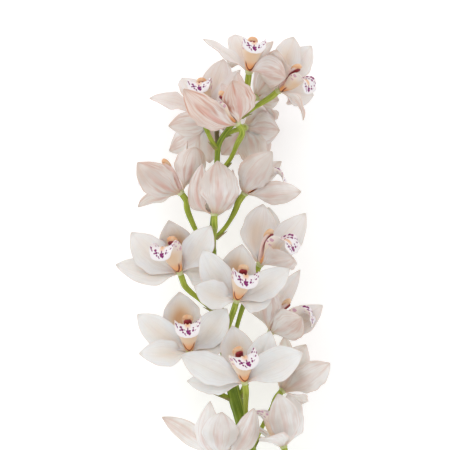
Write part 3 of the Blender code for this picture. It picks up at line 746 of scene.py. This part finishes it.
def thicken(made, columns, thickness, edge):
    """Turns a sheet into a blade that thins towards its rim, its inner face on the second material."""
    group = made.vertex_groups.new(name="Body")
    for vertex in made.data.vertices:
        across = abs(2 * (vertex.index % (columns + 1)) / columns - 1)
        group.add([vertex.index], 1 - across**6, "REPLACE")
    wall = made.modifiers.new("Blade", "SOLIDIFY")
    wall.thickness = thickness * MM
    wall.offset = 0.0
    wall.use_even_offset = False
    wall.vertex_group = "Body"
    wall.thickness_vertex_group = edge
    wall.material_offset = 1
    bpy.ops.object.modifier_apply(modifier="Blade")
    made.vertex_groups.clear()


def tube(name, rows, sides, aim, swell=lambda angle: 1.0):
    """A closed tube along rows of x, y, z, half width and half height, or one radius, its seam merged."""
    points = [Vector(row[:3]) for row in rows]
    last = len(rows) - 1
    frames = []
    for place in range(len(rows)):
        along = (points[min(place + 1, last)] - points[max(place - 1, 0)]).normalized()
        side = along.cross(aim).normalized()
        frames.append((side, side.cross(along)))

    def place_point(station, across):
        """A point of the tube's wall."""
        place = round(station * last)
        side, upward = frames[place]
        angle = math.pi * across
        width = rows[place][3] * swell(angle)
        height = rows[place][-1] * swell(angle)
        return points[place] + side * math.cos(angle) * width + upward * math.sin(angle) * height

    made = sheet(name, sides, last, place_point)
    bpy.ops.object.mode_set(mode="EDIT")
    bpy.ops.mesh.select_all(action="SELECT")
    bpy.ops.mesh.remove_doubles(threshold=MERGE_WITHIN * MM)
    bpy.ops.mesh.normals_make_consistent(inside=False)
    bpy.ops.object.mode_set(mode="OBJECT")
    return made


def join(name, pieces):
    """One piece from several, smooth but for its sharp rims."""
    bpy.ops.object.select_all(action="DESELECT")
    for piece in pieces:
        piece.select_set(True)
    made = pieces[0]
    bpy.context.view_layer.objects.active = made
    if len(pieces) > 1:
        bpy.ops.object.join()
    made.name = name
    made.data.name = name
    bpy.ops.object.shade_smooth_by_angle(angle=math.radians(SMOOTH_UP_TO))
    return made


def draw_in(made):
    """Draws in the last few millimetres of a piece that passes the solids' box, so that it ends there."""
    length = DRAWN_LENGTH * MM
    for side in range(3):
        for sign, limit in ((-1, solid_box[0][side]), (1, solid_box[1][side])):
            past = max(sign * (vertex.co[side] - limit) for vertex in made.data.vertices)
            if past <= 0:
                continue
            for vertex in made.data.vertices:
                reach = sign * (vertex.co[side] - limit) + length
                if reach > 0:
                    vertex.co[side] -= sign * reach * past / (length + past)


def hand_in(made, node):
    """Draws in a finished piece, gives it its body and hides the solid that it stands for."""
    draw_in(made)
    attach(made, "root")
    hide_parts(node)


# Materials

def place_node(tree, kind, inputs=None, **settings):
    """A node with its settings. inputs gives a socket, by name or number, what feeds it or its value."""
    made = tree.nodes.new(kind)
    for name, value in settings.items():
        setattr(made, name, value)
    for name, value in (inputs or {}).items():
        if isinstance(value, bpy.types.NodeSocket):
            tree.links.new(value, made.inputs[name])
        else:
            made.inputs[name].default_value = value
    return made


def figure(tree, operation, first, second=0.0, third=0.0):
    """The result of a sum of up to three values."""
    inputs = {0: first, 1: second, 2: third}
    return place_node(tree, "ShaderNodeMath", inputs, operation=operation).outputs[0]


def product(tree, first, *others):
    """Values or masks multiplied with each other."""
    for other in others:
        first = figure(tree, "MULTIPLY", first, other)
    return first


def apart(tree, first, second):
    """How far two values are apart."""
    return figure(tree, "ABSOLUTE", figure(tree, "SUBTRACT", first, second))


def squared(tree, value, unit):
    """The square of a value that is measured in a unit."""
    return figure(tree, "POWER", figure(tree, "DIVIDE", value, unit), 2.0)


def fade(tree, value, low, high):
    """0 below low and 1 above high, or the other way round where low is the greater, with a soft change."""
    inputs = {"Value": value, "From Min": low, "From Max": high}
    return place_node(tree, "ShaderNodeMapRange", inputs, interpolation_type="SMOOTHSTEP").outputs[0]


def tint(tree, mask, ground, colour):
    """The ground colour, changed to another where the mask is."""
    made = place_node(tree, "ShaderNodeMix", {0: mask}, data_type="RGBA")
    for number, value in ((6, ground), (7, colour)):
        if isinstance(value, bpy.types.NodeSocket):
            tree.links.new(value, made.inputs[number])
        else:
            made.inputs[number].default_value = (*value, 1.0)
    return made.outputs[2]


def paint(tree, colour, *layers):
    """The colour with others over it, in their order. A layer is one or more masks and then its colour."""
    for *masks, other in layers:
        colour = tint(tree, product(tree, *masks), colour, other)
    return colour


def noise(tree, place, scale, detail, roughness=0.5):
    """A soft random pattern at a place."""
    inputs = {"Vector": place, "Scale": scale, "Detail": detail, "Roughness": roughness}
    return place_node(tree, "ShaderNodeTexNoise", inputs).outputs[0]


def start_group(name, inputs, outputs):
    """An empty node group with its named number sockets, and what comes in and goes out."""
    group = bpy.data.node_groups.new(name, "ShaderNodeTree")
    for label in inputs:
        group.interface.new_socket(label, in_out="INPUT", socket_type="NodeSocketFloat")
    for label in outputs:
        group.interface.new_socket(label, in_out="OUTPUT", socket_type="NodeSocketFloat")
    incoming = group.nodes.new("NodeGroupInput")
    outgoing = group.nodes.new("NodeGroupOutput")
    return group, incoming.outputs, outgoing.inputs


def effect(tree, group, inputs):
    """A group's outputs, with its own values in this material."""
    return place_node(tree, "ShaderNodeGroup", inputs, node_tree=group).outputs


def vein_group():
    """Fine lines that run lengthwise and wander a little, from a place across and along a blade."""
    group, given, wanted = start_group(
        "Lengthwise Veins", ["Across", "Along", "Count", "Seed"], ["Lines", "Relief"]
    )
    sideways = product(group, given["Across"], given["Count"])
    sideways = figure(group, "MULTIPLY_ADD", given["Seed"], 37.0, sideways)
    lengthwise = product(group, given["Along"], 1.7)
    place = place_node(group, "ShaderNodeCombineXYZ", {0: sideways, 1: lengthwise, 2: given["Seed"]})
    rough = noise(group, place.outputs[0], 1.0, 2.0, 0.6)
    group.links.new(fade(group, rough, 0.5, 0.68), wanted["Lines"])
    group.links.new(rough, wanted["Relief"])
    return group


def mottle_group():
    """Soft cloudy changes over a surface, and the grain of its cells."""
    group, given, wanted = start_group("Soft Mottle", ["Cloud Scale", "Grain Scale"], ["Clouds", "Grain"])
    place = place_node(group, "ShaderNodeTexCoord").outputs["Object"]
    group.links.new(noise(group, place, given["Cloud Scale"], 3.0, 0.55), wanted["Clouds"])
    group.links.new(noise(group, place, given["Grain Scale"], 1.0), wanted["Grain"])
    return group


def dot_group():
    """The dots in two rows that run together towards the lip's tip, and the blotch where they meet."""
    group, given, wanted = start_group("Lip Dots", ["Across", "Along"], ["Dots"])
    along = given["Along"]
    middle = apart(group, given["Across"], 0.5)
    wide = product(group, given["Across"], 9.0)
    tall = product(group, along, 19.0)
    place = place_node(group, "ShaderNodeCombineXYZ", {0: wide, 1: tall}).outputs[0]
    cells = place_node(
        group, "ShaderNodeTexVoronoi", {"Vector": place, "Scale": 1.0, "Randomness": 0.8}, feature="F1"
    )
    away = figure(group, "MULTIPLY_ADD", noise(group, place, 2.2, 1.0), 0.35, cells.outputs["Distance"])
    row = figure(group, "MINIMUM", figure(group, "MULTIPLY_ADD", along, -1.6, 1.6), 0.42)
    band = product(group, fade(group, apart(group, middle, row), 0.14, 0.1), fade(group, along, 0.46, 0.5))
    dots = product(group, fade(group, away, 0.68, 0.6), band, fade(group, along, 0.97, 0.94))
    reach = squared(group, middle, 0.16)
    rise = squared(group, figure(group, "SUBTRACT", along, 0.905), 0.06)
    ragged = figure(group, "MULTIPLY_ADD", away, 2.8, figure(group, "ADD", reach, rise))
    blotch = fade(group, ragged, 2.6, 2.35)
    line = product(group, fade(group, middle, 0.035, 0.015), fade(group, along, 0.79, 0.83))
    line = product(group, line, fade(group, along, 0.93, 0.9))
    marks = figure(group, "MAXIMUM", figure(group, "MAXIMUM", dots, blotch), line)
    group.links.new(marks, wanted["Dots"])
    return group


def streak_group():
    """Lengthwise streaks round a stalk, which fade in and out along it."""
    group, given, wanted = start_group("Stalk Streaks", ["Around", "Along"], ["Streaks", "Relief"])
    turn = product(group, given["Around"], math.tau)
    depth = product(group, figure(group, "COSINE", turn), 5.0)
    width = product(group, figure(group, "SINE", turn), 5.0)
    height = product(group, given["Along"], 3.0)
    place = place_node(group, "ShaderNodeCombineXYZ", {0: depth, 1: width, 2: height}).outputs[0]
    rough = noise(group, place, 1.0, 3.0)
    group.links.new(fade(group, rough, 0.48, 0.62), wanted["Streaks"])
    group.links.new(rough, wanted["Relief"])
    return group


def start_material(name, roughness, scatter=0.0):
    """A material, its node tree and its shader."""
    made = bpy.data.materials.new(name)
    made.use_nodes = True
    shader = made.node_tree.nodes["Principled BSDF"]
    shader.inputs["Roughness"].default_value = roughness
    shader.inputs["Metallic"].default_value = 0.0
    shader.inputs["Specular IOR Level"].default_value = 0.35
    shader.inputs["Subsurface Weight"].default_value = scatter
    shader.inputs["Subsurface Radius"].default_value = (1.0, 0.75, 0.6)
    shader.inputs["Subsurface Scale"].default_value = 0.003
    return made, made.node_tree, shader


def surface_place(tree):
    """How far across, or round, and how far along its piece a spot is."""
    uv = place_node(tree, "ShaderNodeUVMap", uv_map="UVMap").outputs[0]
    split = place_node(tree, "ShaderNodeSeparateXYZ", {0: uv})
    return split.outputs[0], split.outputs[1]


def tepal_shade(tree):
    """How pink a tepal is, how strong the warm painted shade in its hood is, and the number that sets its
    veins apart.
    """
    shade = place_node(tree, "ShaderNodeAttribute", attribute_name="shade").outputs["Color"]
    split = place_node(tree, "ShaderNodeSeparateColor", {0: shade})
    return split.outputs[0], split.outputs[1], split.outputs[2]


def relief_of(tree, lines, soft):
    """The height of a veined surface with its grain."""
    return figure(tree, "MULTIPLY_ADD", soft["Grain"], 0.12, lines["Relief"])


def finish_surface(tree, shader, colour, height, strength, distance):
    """Joins the colour and the relief to the shader."""
    tree.links.new(colour, shader.inputs["Base Color"])
    bump = place_node(tree, "ShaderNodeBump", {"Height": height, "Strength": strength, "Distance": distance})
    tree.links.new(bump.outputs[0], shader.inputs["Normal"])


def petal_face(veins, mottle):
    """The inner side of sepals and petals: white with cloudy patches of painted grey shade, a warm tan
    painted shade in the hood, and faintly veined.
    """
    made, tree, shader = start_material("Petal Face", 0.5, 0.45)
    across, along = surface_place(tree)
    middle = apart(tree, across, 0.5)
    blush, hood_shade_warmth, seed = tepal_shade(tree)
    lines = effect(tree, veins, {"Across": across, "Along": along, "Count": 34.0, "Seed": seed})
    soft = effect(tree, mottle, {"Cloud Scale": 45.0, "Grain Scale": 1400.0})
    # Painted shade: a warm tan in the middle of the hood's hollow, strongest on the dorsal sepal.
    hood = product(tree, fade(tree, middle, 0.42, 0.0), fade(tree, along, 0.98, 0.55), hood_shade_warmth)
    colour = paint(
        tree,
        FACE_WHITE,
        # Painted shade in cloudy grey patches.
        (fade(tree, soft["Clouds"], 0.3, 0.75), FACE_SHADE_GREY),
        (hood, fade(tree, along, 0.08, 0.42), FACE_HOOD_SHADE),
        (figure(tree, "MULTIPLY_ADD", lines["Lines"], 0.35, 0.42), blush, FACE_ROSE),
        (lines["Lines"], 0.2, FACE_VEIN),
        (fade(tree, along, 0.15, 0.03), 0.6, FACE_ROOT),
        (fade(tree, middle, 0.45, 0.5), 0.3, FACE_RIM),
        (fade(tree, along, 0.93, 1.0), 0.35, FACE_TIP),
    )
    finish_surface(tree, shader, colour, relief_of(tree, lines, soft), 0.35, 0.0006)
    return made


def petal_back(veins, mottle):
    """The outer side of sepals and petals, with painted highlights and shade in cloudy patches, rose bands,
    a stripe along the midrib and a brown root.
    """
    made, tree, shader = start_material("Petal Back", 0.52, 0.45)
    across, along = surface_place(tree)
    middle = apart(tree, across, 0.5)
    blush, _, seed = tepal_shade(tree)
    lines = effect(tree, veins, {"Across": across, "Along": along, "Count": 30.0, "Seed": seed})
    bands = effect(tree, veins, {"Across": across, "Along": along, "Count": 7.0, "Seed": seed})
    soft = effect(tree, mottle, {"Cloud Scale": 30.0, "Grain Scale": 1400.0})
    colour = paint(
        tree,
        BACK_WHITE,
        # Painted highlight and shade: broad cloudy light and grey zones, so that each back has a lit and a
        # shaded part.
        (fade(tree, soft["Clouds"], 0.38, 0.68), BACK_SHADE_GREY),
        (figure(tree, "MULTIPLY_ADD", lines["Lines"], 0.4, 0.34), blush, BACK_ROSE),
        (bands["Lines"], blush, 0.85, BACK_BAND),
        (fade(tree, middle, 0.13, 0.0), fade(tree, along, 0.95, 0.4), blush, 0.7, BACK_STRIPE),
        (lines["Lines"], 0.16, BACK_VEIN),
        (fade(tree, along, 0.3, 0.05), 0.55, BACK_ROOT),
        (fade(tree, along, 0.2, 0.04), fade(tree, lines["Relief"], 0.42, 0.6), 0.6, BACK_SCORCH),
        (fade(tree, middle, 0.44, 0.5), 0.45, BACK_RIM),
        (fade(tree, along, 0.92, 1.0), 0.4, BACK_TIP),
    )
    finish_surface(tree, shader, colour, relief_of(tree, lines, soft), 0.4, 0.0006)
    return made


def lip_inside(mottle, dots):
    """The lip's face: white with a pink rim and purple dots, two orange keels and a deep throat."""
    made, tree, shader = start_material("Lip Inside", 0.42, 0.2)
    across, along = surface_place(tree)
    middle = apart(tree, across, 0.5)
    soft = effect(tree, mottle, {"Cloud Scale": 90.0, "Grain Scale": 1600.0})
    spots = effect(tree, dots, {"Across": across, "Along": along})
    colour = paint(
        tree,
        LIP_WHITE,
        (soft["Clouds"], LIP_LILAC),
        (fade(tree, middle, 0.3, 0.48), fade(tree, along, 0.8, 0.6), 0.4, LIP_RIM),
        (fade(tree, along, 0.62, 0.3), LIP_THROAT),
        (fade(tree, middle, 0.15, 0.04), fade(tree, along, 0.88, 0.74), LIP_KEEL),
        (fade(tree, along, 0.2, 0.05), LIP_DEPTH),
        (spots["Dots"], LIP_DOT),
    )
    finish_surface(tree, shader, colour, soft["Grain"], 0.3, 0.0005)
    return made


def lip_outside(veins, mottle, dots):
    """The lip's back: peach and tan, orange at its root with a brown line, paling to white at its tip."""
    made, tree, shader = start_material("Lip Outside", 0.45, 0.2)
    across, along = surface_place(tree)
    middle = apart(tree, across, 0.5)
    lines = effect(tree, veins, {"Across": across, "Along": along, "Count": 24.0, "Seed": 3.0})
    soft = effect(tree, mottle, {"Cloud Scale": 80.0, "Grain Scale": 1600.0})
    spots = effect(tree, dots, {"Across": across, "Along": along})
    before = figure(tree, "MAXIMUM", figure(tree, "SUBTRACT", 0.2, along), 0.0)
    curve = figure(tree, "ADD", squared(tree, middle, 0.27), squared(tree, before, 0.17))
    colour = paint(
        tree,
        LIP_TAN,
        (fade(tree, along, 0.42, 0.68), LIP_PALE),
        (fade(tree, middle, 0.12, 0.42), 0.6, LIP_SIDE),
        (fade(tree, along, 0.3, 0.1), LIP_ORANGE),
        (lines["Lines"], 0.12, LIP_VEIN),
        (spots["Dots"], 0.55, LIP_DOT_SEEN_THROUGH),
        (fade(tree, apart(tree, curve, 1.0), 0.4, 0.15), fade(tree, along, 0.26, 0.16), LIP_LINE),
    )
    finish_surface(tree, shader, colour, relief_of(tree, lines, soft), 0.3, 0.0005)
    return made


def plain_flesh(name, mottle, light, dark, roughness, scatter):
    """Smooth flesh of one colour that clouds into another."""
    made, tree, shader = start_material(name, roughness, scatter)
    soft = effect(tree, mottle, {"Cloud Scale": 160.0, "Grain Scale": 1500.0})
    colour = tint(tree, fade(tree, soft["Clouds"], 0.35, 0.65), light, dark)
    finish_surface(tree, shader, colour, soft["Grain"], 0.25, 0.0004)
    return made


def column_flesh(mottle):
    """The column: pale pink on its back, and maroon on the underside of its front half."""
    made, tree, shader = start_material("Column Flesh", 0.4, 0.15)
    around, along = surface_place(tree)
    soft = effect(tree, mottle, {"Cloud Scale": 220.0, "Grain Scale": 1500.0})
    deep = tint(tree, fade(tree, soft["Clouds"], 0.35, 0.6), COLUMN_RED, COLUMN_MAROON)
    colour = paint(
        tree,
        COLUMN_PINK,
        (soft["Clouds"], COLUMN_ROSE),
        (fade(tree, along, 0.1, 0.0), COLUMN_ROOT),
        (fade(tree, along, 0.68, 0.86), COLUMN_TIP),
        (fade(tree, apart(tree, around, 0.25), 0.2, 0.13), fade(tree, along, 0.3, 0.5), deep),
    )
    finish_surface(tree, shader, colour, soft["Grain"], 0.25, 0.0004)
    return made


def stalk_skin(name, mottle, streaks, light, dark, streak):
    """Green skin with lengthwise streaks that fade in and out."""
    made, tree, shader = start_material(name, 0.5, 0.05)
    around, along = surface_place(tree)
    lines = effect(tree, streaks, {"Around": around, "Along": along})
    soft = effect(tree, mottle, {"Cloud Scale": 60.0, "Grain Scale": 1300.0})
    patches = fade(tree, soft["Clouds"], 0.35, 0.68)
    colour = paint(tree, light, (patches, dark), (lines["Streaks"], 0.8, streak))
    height = figure(tree, "MULTIPLY_ADD", soft["Grain"], 0.15, lines["Relief"])
    finish_surface(tree, shader, colour, height, 0.35, 0.0006)
    return made


def make_materials():
    """The orchid's finishes by name. A skin's three colours are its light, its dark and its streaks."""
    veins = vein_group()
    mottle = mottle_group()
    dots = dot_group()
    streaks = streak_group()
    made = {
        "back": petal_back(veins, mottle),
        "face": petal_face(veins, mottle),
        "lip_out": lip_outside(veins, mottle, dots),
        "lip_in": lip_inside(mottle, dots),
        "column": column_flesh(mottle),
    }
    for key, name, light, dark, roughness, scatter in (
        ("knob", "Bloom Knob", (0.66, 0.67, 0.38), (0.50, 0.54, 0.22), 0.5, 0.15),
        ("cap", "Column Cap", (0.82, 0.45, 0.24), (0.82, 0.58, 0.38), 0.42, 0.15),
        ("bract", "Bract", (0.26, 0.30, 0.06), (0.34, 0.27, 0.10), 0.55, 0.1),
        ("cut", "Cut End", (0.62, 0.66, 0.38), (0.5, 0.56, 0.26), 0.6, 0.1),
    ):
        made[key] = plain_flesh(name, mottle, light, dark, roughness, scatter)
    for key, name, light, dark, streak in (
        ("stalk", "Stalk Skin", (0.20, 0.29, 0.015), (0.13, 0.21, 0.010), (0.36, 0.43, 0.05)),
        ("pedicel", "Pedicel Skin", (0.36, 0.43, 0.04), (0.22, 0.30, 0.02), (0.50, 0.55, 0.10)),
        # Dark brown, darkened further as painted shade, for the one ovary that lies hidden under other
        # blooms.
        ("brown", "Shaded Brown Ovary", (0.14, 0.11, 0.03), (0.09, 0.06, 0.02), (0.22, 0.18, 0.05)),
    ):
        made[key] = stalk_skin(name, mottle, streaks, light, dark, streak)
    return made


# The orchid

def make_tepals(number, flower, finishes):
    """A bloom's three sepals and two petals with the knob that they spring from."""
    dice = random.Random(int(number))
    blush, hood_shade_warmth = BLUSH_AND_HOOD_SHADE[number]
    pieces = []
    for kind, values in flower["tepals"].items():
        hooded = kind == "dorsal"
        wave = {
            "count": dice.uniform(*WAVE_COUNTS),
            "phase": dice.random(),
            "height": dice.uniform(*WAVE_HEIGHTS),
            "curl": dice.uniform(*TIP_CURLS),
            "outline": HOOD_OUTLINE if hooded else TEPAL_OUTLINE,
        }
        spine = tepal_spine(flower, values)
        made = sheet(
            kind, TEPAL_COLUMNS, TEPAL_ROWS, lambda s, a: tepal_point(flower, values, spine, wave, s, a)
        )
        paint_shade(made, (blush, hood_shade_warmth * (1.0 if hooded else SIDE_HOOD_SHADE), dice.random()))
        finish_with(made, finishes["back"], finishes["face"])
        thicken(made, TEPAL_COLUMNS, BLADE, BLADE_EDGE)
        pieces.append(made)
    _, dorsal, axis = bloom_axes(flower)
    rows = [(*(flower["place"] + axis * forward), radius) for forward, radius in KNOB_RINGS]
    knob = tube("knob", smooth_path(rows, KNOB_STEPS), KNOB_SIDES, dorsal)
    finish_with(knob, finishes["knob"])
    hand_in(join("tepals_" + number, pieces + [knob]), "bloom_%s_tepals" % number)


def make_lip(number, flower, finishes):
    """A bloom's lip."""
    axes = bloom_axes(flower)
    line = lip_line(flower)
    made = sheet("lip", LIP_COLUMNS, LIP_ROWS, lambda s, a: lip_point(flower, axes, line, s, a))
    finish_with(made, finishes["lip_out"], finishes["lip_in"])
    thicken(made, LIP_COLUMNS, LIP_BLADE, LIP_EDGE)
    hand_in(join("lip_" + number, [made]), "bloom_%s_lip" % number)


def make_column(number, flower, finishes):
    """A bloom's column and its cap."""
    dorsal = bloom_axes(flower)[1]
    body = tube("body", smooth_path(ring_rows(flower, COLUMN_RINGS), COLUMN_STEPS), COLUMN_SIDES, dorsal)
    finish_with(body, finishes["column"])
    cap = tube("cap", smooth_path(ring_rows(flower, CAP_RINGS), CAP_STEPS), CAP_SIDES, dorsal)
    finish_with(cap, finishes["cap"])
    hand_in(join("column_" + number, [body, cap]), "bloom_%s_column" % number)


def make_stalk(finishes):
    """The stalk with its nodes and its cut end, and each bloom's pedicel with the small leaf at its foot."""
    aim = Vector((0.0, 0.0, 1.0))
    rows = smooth_path(RACHIS, RACHIS_STEPS)
    nodes = [flower["joins"] for flower in BLOOMS.values()] + BARE_NODES
    for row in rows:
        near = min(abs(row[1] - height) for height in nodes)
        row[3] *= 1 + NODE_SWELL * math.exp(-((near / NODE_REACH) ** 2))
    stalk = tube("stalk", close_ends(rows), RACHIS_SIDES, aim, ribbed)
    finish_with(stalk, finishes["stalk"], finishes["cut"])
    cut_end = (rows[0][1] + CUT_DEPTH) * MM
    for face in stalk.data.polygons:
        if face.center.y < cut_end and face.normal.y < CUT_FACING:
            face.material_index = 1
    pieces = [stalk]
    for number, flower in BLOOMS.items():
        rows = pedicel_rows(flower)
        made = tube("pedicel", close_ends(rows), PEDICEL_SIDES, aim)
        # One ovary gets the dark brown skin that also holds painted shade.
        finish_with(made, finishes["brown" if number == SHADED_BROWN_OVARY else "pedicel"])
        bract = sheet("bract", BRACT_COLUMNS, BRACT_ROWS, lambda s, a: bract_point(rows, s, a))
        finish_with(bract, finishes["bract"], finishes["bract"])
        thicken(bract, BRACT_COLUMNS, BRACT_BLADE, BRACT_EDGE)
        pieces += [made, bract]
    hand_in(join("stalk", pieces), "stem")


def make_table():
    """The pale surface that the stem lies on."""
    bpy.ops.object.select_all(action="DESELECT")
    bpy.ops.mesh.primitive_plane_add(size=TABLE_SIZE, location=(0.0, 0.0, TABLE_HEIGHT))
    table = bpy.context.object
    table.name = "Table"
    made, _, shader = start_material("Table", 0.9)
    shader.inputs["Base Color"].default_value = (0.9, 0.9, 0.9, 1.0)
    shader.inputs["Specular IOR Level"].default_value = 0.0
    shader.inputs["Emission Color"].default_value = (1.0, 1.0, 1.0, 1.0)
    shader.inputs["Emission Strength"].default_value = TABLE_GLOW
    finish_with(table, made)


def make_light_and_camera():
    """Soft white light from all sides, a large lamp beside the tip, and a camera that looks down."""
    world = bpy.data.worlds.new("Studio")
    bpy.context.scene.world = world
    world.use_nodes = True
    sky = world.node_tree.nodes["Background"]
    sky.inputs[0].default_value = (1.0, 1.0, 1.0, 1.0)
    sky.inputs[1].default_value = SKY_STRENGTH
    bpy.ops.object.light_add(type="AREA", location=KEY_PLACE)
    key = bpy.context.object
    key.name = "Key"
    key.data.shape = "SQUARE"
    key.data.size = KEY_SIZE
    key.data.energy = KEY_POWER
    key.rotation_euler = (Vector(KEY_AIM) - key.location).to_track_quat("-Z", "Y").to_euler()
    bpy.ops.object.camera_add(location=CAMERA_PLACE, rotation=(0.0, 0.0, 0.0))
    camera = bpy.context.object
    camera.name = "Camera"
    camera.data.sensor_width = CAMERA_SENSOR
    camera.data.lens = CAMERA_LENS
    camera.data.clip_end = CAMERA_REACH
    bpy.context.scene.camera = camera
    bpy.context.scene.view_settings.view_transform = "Standard"


materials = make_materials()
for number, flower in BLOOMS.items():
    make_tepals(number, flower, materials)
    make_lip(number, flower, materials)
    make_column(number, flower, materials)
make_stalk(materials)
make_table()
make_light_and_camera()
